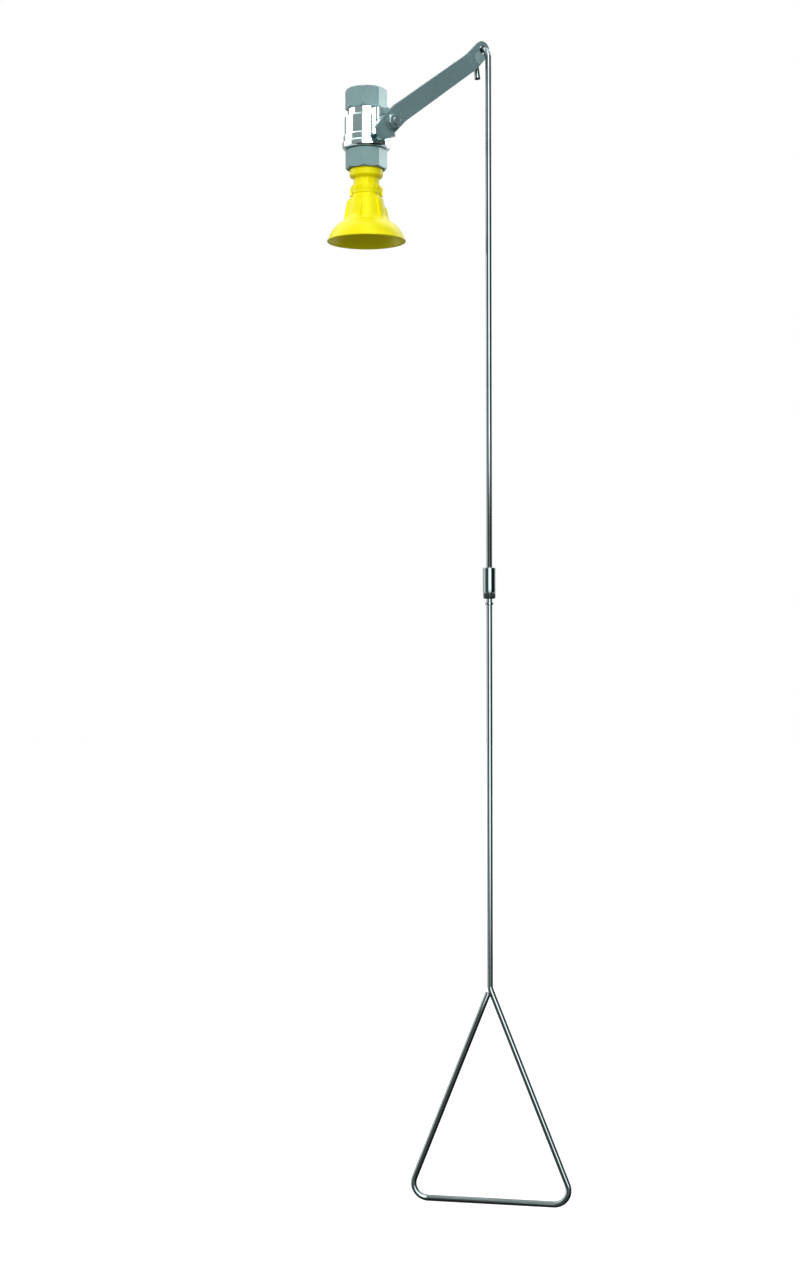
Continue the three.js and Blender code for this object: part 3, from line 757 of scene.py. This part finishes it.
combine(lever, punch(circle_points(HOOK_HOLE_RADIUS, lever_length), 60, 110), "DIFFERENCE")
stem_hole = [(x, max(-STEM_HOLE_FLAT, min(STEM_HOLE_FLAT, y))) for x, y in circle_points(STEM_HOLE_RADIUS)]
flats_turn = Matrix.Rotation(-lever_tilt, 2)
combine(lever, punch([tuple(flats_turn @ Vector(p)) for p in stem_hole], 30, 55), "DIFFERENCE")
up_to_stem = Matrix.Translation((0, 0, stem_z * MM))
lever_turn = Matrix.Rotation(-lever_tilt, 4, "Y")
lever.data.transform(up_to_stem @ lever_turn)
finished(lever, "lever", lever_satin, edge=0.45)

# %% [markdown]
# ## Nuts, washer and stem
# The gland nut presses the stem's packing. Outside the lever, a spring washer and an M8 nut hold it
# on the stem, whose threaded end stands a little proud of the nut.

# %% Make the fasteners on the stem


def bored(piece, radius, top, bottom):
    hole = [(0, bottom - 1), (radius, bottom - 1), (radius, top + 1), (0, top + 1)]
    return combine(piece, as_object("bore", turned(hole, closed=False, steps=48)), "DIFFERENCE")


gland = prism(15, 38, 34.3, 6, 0.8)
gland_thread = [(0, 31.3), (7, 31.3), (7, 35), (0, 35)]
combine(gland, as_object("gland_thread", turned(gland_thread, closed=False, steps=48)), "UNION")
gland.name = "gland_nut_hexagon"
finished(to_side(bored(gland, 4.9, 38, 31.3)), "gland_nut", satin_nickel, edge=0.2)

nut_start = -high("lever_nut").y
nut_end = -low("lever_nut").y
nut = prism(13, nut_end, nut_start, 6, 0.8)
nut.name = "lever_nut_hexagon"
to_side(bored(nut, 4.2, nut_end, nut_start))
down_from_stem = Matrix.Translation((0, 0, -stem_z * MM))
nut.data.transform(up_to_stem @ lever_turn @ down_from_stem)
finished(nut, "lever_nut", nut_steel, edge=0.5)

washer_start, washer_end = -high("lever_washer").y, -low("lever_washer").y
washer_rim = [(4.9, washer_start), (8, washer_start, 0.3), (8, washer_end, 0.3), (4.9, washer_end)]
lever_washer = to_side(as_object("lever_washer_ring", turned(washer_rim, steps=64)))
finished(lever_washer, "lever_washer", lever_satin)

stem_tip = -low("stem").y
stem_shape = [(0, 17.9), (7, 17.9, 0.4), (7, 21), (4.6, 21), (4.6, 42.6), (3.45, 43.2),
              *thread(3.45, 0.45, 43.4, stem_tip - 0.8, 1.25), (2.9, stem_tip), (0, stem_tip)]
stem = as_object("stem_spindle", turned(stem_shape, closed=False, steps=48))
STEM_FLAT, FLATS_START = 3.5, 38.6
combine(stem, cube((-8, STEM_FLAT, FLATS_START), (8, 8, 60)), "DIFFERENCE")
combine(stem, cube((-8, -8, FLATS_START), (8, -STEM_FLAT, 60)), "DIFFERENCE")
combine(stem, cube((-6, -2.6, 13.9), (6, 2.6, 18.5)), "UNION")
finished(to_side(stem), "stem", nut_steel, edge=0.15)

# %% [markdown]
# ## Ball
# The ball shows when one looks into the inlet. Closed, its bore lies across the flow, and a slot in
# its side takes the stem's tang.

# %% Make the ball
BALL_RADIUS, BALL_BORE, PAST_BALL = 17, 11, 20
bm = bmesh.new()
bmesh.ops.create_uvsphere(bm, u_segments=96, v_segments=48, radius=BALL_RADIUS * MM)
ball = as_object("ball_sphere", bm)
bore_shape = [(0, -PAST_BALL), (BALL_BORE, -PAST_BALL), (BALL_BORE, PAST_BALL), (0, PAST_BALL)]
ball_bore = as_object("ball_bore", turned(bore_shape, closed=False, steps=64))
ball_bore.data.transform(Matrix.Rotation(math.pi / 2, 4, "Y"))
combine(ball, ball_bore, "DIFFERENCE")
combine(ball, cube((-PAST_BALL, -PAST_BALL, -3), (PAST_BALL, -13.4, 3)), "DIFFERENCE")
ball.data.transform(up_to_stem)
finished(ball, "ball", hard_chrome, edge=0.25)

# %% [markdown]
# ## Shower head
# The connector screws into the valve and carries the yellow collar and neck. The bell's socket
# turns onto it, and the bell flares into a thin-walled skirt with a rounded rim. Two windowed tabs
# and a row of teeth lock the socket, and tall and short ribs stiffen the cone by turns.

# %% Make the connector
head_top, collar_top = high("head_connector").z, valve_bottom - 0.3
collar_radius = high("head_connector").x
tube_end = low("head_connector").z
connector_shape = [
    (12.2, head_top, 0.4), *thread(15.4, 1.1, head_top - 0.6, collar_top + 1.6), (15.4, collar_top),
    (collar_radius, collar_top), (collar_radius, -86.4, 0.3), (15.4, -88, 0.3), (13.3, -89, 0.3),
    (12.5, -90, 0.3), (12.5, -96.3), (12.2, -96.3), (12.2, -102), (10.6, -102), (10.6, -105),
    (12.2, -105), (12.2, tube_end), (8, tube_end), (8, -89), (12.2, -85)]
connector = as_object("head_connector_body", turned(connector_shape))
facets = [(12.3, -95.9), (12.95, -95.9), (12.95, -89.4), (12.3, -89.4)]
FACET_COUNT = 12
combine(connector, as_object("facets", turned(facets, steps=FACET_COUNT)), "UNION")
finished(connector, "head_connector", yellow_abs, sharp=28)

# %% [markdown]
# The bell is one closed outline, spun once: down the outside of the socket and the cone, round the
# rim, and back up the inside. The inner curve is the outer one moved in by the wall's thickness.

# %% Make the bell
rim_z = low("shower_bell").z
rim_radius = high("shower_bell").x
wall = 2.2
wall_in, wall_down = wall * 0.9, wall * 0.62
bell_curve = arc((23.4, -131.8), (38.3, -149.9), 2.6, 12)
inner_curve = [(r - wall_in, z - wall_down) for r, z in reversed(bell_curve)]
bell_shape = [
    (12.6, -96.6), (15.1, -96.6, 0.4), (15.1, -104.6, 0.3), (14.4, -105.2, 0.3), (14.4, -107.8, 0.4),
    (16.6, -109, 0.6), (18.2, -116), (20.4, -127, 2.0), *bell_curve, (rim_radius, -150.6, 0.3),
    (rim_radius, rim_z + 0.4, 0.3), (rim_radius - 1.6, rim_z, 0.3), *inner_curve,
    (18.4, -126), (16.4, -118), (9, -114.5), (8.4, -112.5), (8.4, tube_end - 0.6),
    (12.6, tube_end - 0.6)]
bell = as_object("shower_bell_shell", turned(bell_shape))
print("bell rim", round(rim_radius, 1), "mm radius at", round(rim_z, 1))

# %% [markdown]
# Two tabs with windows stand on opposite sides of the socket, and a row of teeth runs part of the
# way round it. Each is a block that is turned to its place and joined on.

# %% Add the locking tabs and the teeth
TAB_ANGLES = (-38, 142)
TOOTH_COUNT, FIRST_TOOTH, TOOTH_STEP = 9, 160, 17


def add_round_bell(shape, degrees):
    """Turns a shape about the bell's axis and joins it on."""
    shape.data.transform(Matrix.Rotation(math.radians(degrees), 4, "Z"))
    combine(bell, shape, "UNION")


for angle in TAB_ANGLES:
    tab = cube((14.4, -2.6, -106.6), (16.3, 2.6, -98.6))
    combine(tab, cube((14, -1.2, -105.2), (17, 1.2, -101.4)), "DIFFERENCE")
    add_round_bell(tab, angle)
for number in range(TOOTH_COUNT):
    add_round_bell(cube((14.6, -1.1, -101), (15.7, 1.1, -97.6)), FIRST_TOOTH + TOOTH_STEP * number)
print("bell with tabs and teeth", len(bell.data.polygons), "faces")

# %% [markdown]
# A rib is a flat outline raised to its thickness and stood upright. What would reach through the
# bell's thin wall is cut away first, so that the inside stays smooth.

# %% Add the ribs
RIB_COUNT = 6
RIB_ANGLE = 154
HALF_RIB = 1.5
hollow_shape = [
    (0, -140), (21, -140), (19.4, -131), (17.3, -124.5), (15.4, -116), (13.8, -108), (0, -108)]
for number in range(RIB_COUNT):
    tops = [(19.4, -112.4), (17.4, -109.6)] if number % 2 == 0 else [(20.6, -118.6), (19.4, -117)]
    outline = [(15, -131), (23, -131), (21.4, -122), *tops, (15, tops[1][1])]
    rib = raised("rib", outline, -HALF_RIB, HALF_RIB)
    rib.data.transform(Matrix.Rotation(math.pi / 2, 4, "X"))
    combine(rib, as_object("hollow", turned(hollow_shape, closed=False)), "DIFFERENCE")
    add_round_bell(rib, RIB_ANGLE + 360 / RIB_COUNT * number)
finished(bell, "shower_bell", yellow_abs, edge=0.3)

# %% [markdown]
# ## Rods
# The upper rod is bar fed up to the hook, bent round by a little more than a half turn, and cut off.
# A ring of points is the bar's section, and the same bender that folded the strip draws it along.

# %% Bend the upper rod
ROD = 3.0
HOOK_TURN = 190
HOOK_TAIL = 16
rod_ring = circle_points(ROD)
hook_radius = hook_hole.y - rod_line.y
rod_low = low("upper_rod").z
hook_start = Vector((hook_hole.x, rod_line.y, rod_low))
upper = Bender(rod_ring, hook_start, (0, 0, 1), (-1, 0, 0))
upper.feed(hook_hole.z - hook_radius - rod_low).bend(HOOK_TURN, hook_radius, 40).feed(HOOK_TAIL)
finished(as_object("upper_rod_hooked", upper.close(0.5)), "upper_rod", mirror_steel)

# %% [markdown]
# The lower rod is one wire: it leaves the coupling, bends into the first leg, turns two corners
# round the handle, and comes back up to end beside its first bend. That end is a hair slimmer than
# the wire and starts inside it, so that the two join cleanly.

# %% Bend the lower rod and its handle
handle_low, handle_high = low("pull_handle"), high("pull_handle")
bar_z = handle_low.z + ROD
apex_z, bar_half, corner_radius = -891.6, 83.7, 14.5
FREE_END = 5.2
LAST_STRETCH = 30
SLIMMER = 0.992
aim = math.radians(-49.4)
along = Vector((math.cos(aim), math.sin(aim), 0))
handle_plane = Vector((along.y, -along.x, 0))
tilt = math.atan2(bar_half, apex_z - bar_z)
leg = math.hypot(bar_half, apex_z - bar_z)
first_setback = corner_radius * math.tan(tilt / 2)
corner_turn = math.pi / 2 + tilt
corner_setback = corner_radius * math.tan(corner_turn / 2)
handle_top = handle_high.z
lower = Bender(rod_ring, (rod_line.x, rod_line.y, handle_top), (0, 0, -1), handle_plane)
lower.feed(handle_top - apex_z - first_setback).bend(math.degrees(tilt), corner_radius, 10)
lower.feed(leg - first_setback - corner_setback).bend(-math.degrees(corner_turn), corner_radius, 28)
lower.feed(2 * (bar_half - corner_setback)).bend(-math.degrees(corner_turn), corner_radius, 28)
lower.feed(leg - corner_setback - LAST_STRETCH)
handle_wire = as_object("pull_handle_wire", lower.close())
slim_ring = [(x * SLIMMER, y * SLIMMER) for x, y in rod_ring]
leg_end = Bender(slim_ring, lower.at - lower.heading, lower.heading, lower.plane)
leg_end.feed(1 + LAST_STRETCH - FREE_END)
combine(handle_wire, as_object("leg_end", leg_end.close(0.5)), "UNION")
finished(handle_wire, "pull_handle", mirror_steel)

# %% [markdown]
# ## Coupling
# A polished sleeve joins the rods, a blackened round nut locks it, and a small ring on the lower rod
# marks how far it screws in.

# %% Turn the coupling


def on_rod(name, node, outline, material):
    """Spins an outline round the rods' own line."""
    piece = as_object(name, turned(outline, steps=64))
    piece.data.transform(Matrix.Translation((rod_line.x * MM, rod_line.y * MM, 0)))
    return finished(piece, node, material)


sleeve_top, sleeve_end = high("coupling_sleeve").z, low("coupling_sleeve").z
sleeve_radius = 6.4
rod_bore = ROD + 0.3
sleeve_shape = [
    (rod_bore, sleeve_end), (sleeve_radius, sleeve_end, 0.3), (sleeve_radius, sleeve_top, 0.8),
    (rod_bore, sleeve_top)]
on_rod("coupling_sleeve_tube", "coupling_sleeve", sleeve_shape, mirror_steel)
lock_top, lock_end = high("lock_nut").z, low("lock_nut").z
lock_shape = [
    (rod_bore, lock_end), (5, lock_end, 0.2), (6, lock_end + 1.2, 0.3), (6, lock_top, 0.4),
    (rod_bore, lock_top)]
on_rod("lock_nut_round", "lock_nut", lock_shape, black_oxide)
bead_top, bead_end = high("retaining_ring").z, low("retaining_ring").z
bead_shape = [(rod_bore, bead_end), (4.1, bead_end, 1.0), (4.1, bead_top, 1.0), (rod_bore, bead_top)]
on_rod("retaining_ring_bead", "retaining_ring", bead_shape, mirror_steel)

# %% [markdown]
# ## Pieces inside
# Seals, seats and inserts keep the working model's shapes, with a finish of their own.

# %% Give the inner pieces their finishes
inner_finishes = {
    white_ptfe: [
        "body_joint_ring", "upper_seat_ring", "lower_seat_ring", "stem_thrust_washer", "packing_ring"],
    black_rubber: ["stem_o_ring", "head_gasket", "connector_o_ring"],
    hard_chrome: ["strainer", "diffuser_screw"],
    acetal: ["flow_regulator"],
    yellow_abs: ["spray_diffuser"]}
for material, nodes in inner_finishes.items():
    for node in nodes:
        mesh = frame["nodes"][node].data
        mesh.materials.clear()
        mesh.materials.append(material)
print("inner pieces", sum(len(nodes) for nodes in inner_finishes.values()))

# %% [markdown]
# ## Studio
# A pale floor lies well below the handle, and the room is white where the camera looks at it. The
# metal reflects a softer room with bright upright panels in front and behind, which draw the
# long white lines on polished round bar.

# %% Light the scene
FLOOR_RADIUS, FLOOR_HEIGHT = 30, -2.2
floor_bm = bmesh.new()
bmesh.ops.create_circle(floor_bm, cap_ends=True, radius=FLOOR_RADIUS, segments=96)
bmesh.ops.translate(floor_bm, verts=floor_bm.verts, vec=(0, 0, FLOOR_HEIGHT))
floor = as_object("studio_floor", floor_bm)
floor_finish = Finish("pale_floor")
floor.data.materials.append(floor_finish.surface(
    Base_Color=shade(0.8, 0.8, 0.8), Roughness=0.9, Emission_Color=shade(1, 1, 1), Emission_Strength=0.6))
floor.visible_diffuse = False
floor.visible_glossy = False
print("floor at", FLOOR_HEIGHT, "m")

# %% [markdown]
# The world answers three kinds of ray. The camera sees plain white. Polished metal sees a dim room
# with upright white panels, placed by their angle round from the camera. The one in front ends a
# little below the camera's height, and the floor looks dark. Everything else is lit by an even glow
# that is weaker from below.

# %% Paint the room
world = bpy.data.worlds.new("studio")
scene.world = world
world.use_nodes = True
room = Graph(world.node_tree)
direction = room.add("ShaderNodeTexCoord", output="Generated")
level_direction = room.add(
    "ShaderNodeVectorRotate", {"rotation_type": "Z_AXIS"}, i0=direction, Angle=-CAMERA_AZIMUTH)
axes = room.add("ShaderNodeSeparateXYZ", i0=level_direction)
x, y, z = (Signal(world.node_tree, axes.socket.node.outputs[i]) for i in range(3))
around = x.maths("ARCTAN2", x, 0 - y) * math.degrees(1)


def rise(signal, start, end):
    """Goes smoothly from 0 at start to 1 at end."""
    return room.add(
        "ShaderNodeMapRange", {"interpolation_type": "SMOOTHSTEP"}, Value=signal, From_Min=start,
        From_Max=end)


SOFT_EDGE = 5


def panel(first, last):
    """1 between two angles in degrees, measured round to the right from the camera's side."""
    return rise(around, first - SOFT_EDGE, first) * (1 - rise(around, last, last + SOFT_EDGE))


mirror_room = (
    0.08 + panel(-75, -18) * 0.3 + panel(-128, -80) * 3.8 + panel(110, 150) * 3
    + panel(-15, 28) * (0.8 + rise(z, -0.17, -0.08) * 7.2)
    + panel(-180, -135) * 0.4 + panel(155, 180) * 0.4) * (0.2 + rise(z, -0.5, -0.2) * 0.8)
mirror_room = mirror_room + rise(z, 0.35, 0.6) * 1.5
soft_room = 0.19 + rise(z, -0.5, 0.3) * 0.4
rays = room.add("ShaderNodeLightPath", output="Is Camera Ray")
seen = Signal(world.node_tree, rays.socket.node.outputs["Is Camera Ray"])
glossy = Signal(world.node_tree, rays.socket.node.outputs["Is Glossy Ray"])
brightness = glossy * mirror_room + (1 - glossy) * soft_room
grey = room.add("ShaderNodeCombineColor", Red=brightness, Green=brightness, Blue=brightness)
lit_room = room.add("ShaderNodeBackground", Color=grey, Strength=1.0)
white_room = room.add("ShaderNodeBackground", Color=shade(1, 1, 1), Strength=1.0)
both = room.add("ShaderNodeMixShader", i0=seen, i1=lit_room, i2=white_room)
room.add("ShaderNodeOutputWorld", Surface=both)
print("room nodes", len(world.node_tree.nodes))

# %% [markdown]
# Two upright softboxes shape the rest. A gentle one beside the camera models the yellow head. A
# stronger, slightly warm one on the far right lights only the valve's two plated castings, so that
# the facets of their octagons read apart. Neither shows in the mirror-bright metal.

# %% Hang the softboxes


def softbox(name, azimuth, distance, height, width, tall, power):
    """An upright area light, aimed at the middle of the rod, measured round from the camera."""
    light = bpy.data.lights.new(name, "AREA")
    light.shape, light.size, light.size_y, light.energy = "RECTANGLE", width, tall, power
    lamp = bpy.data.objects.new(name, light)
    scene.collection.objects.link(lamp)
    angle = CAMERA_AZIMUTH + math.radians(azimuth)
    away = Vector((math.sin(angle), -math.cos(angle), 0))
    lamp.location = away * distance + Vector((0, 0, height))
    aim_point = Vector((0, 0, CAMERA_HEIGHT * MM))
    lamp.rotation_euler = (lamp.location - aim_point).to_track_quat("Z", "Y").to_euler()
    lamp.visible_glossy = False
    return lamp


softbox("key_light", azimuth=-14, distance=2.6, height=0.6, width=1.2, tall=2.0, power=42)
side_light = softbox(
    "side_light", azimuth=116, distance=2.2, height=0.3, width=0.6, tall=2.0, power=210)
side_light.data.color = (1.0, 0.82, 0.80)
lit_pieces = bpy.data.collections.new("lit_from_the_side")
for lit in (valve_body, end_cap):
    lit_pieces.objects.link(lit)
side_light.light_linking.receiver_collection = lit_pieces
print("studio ready")
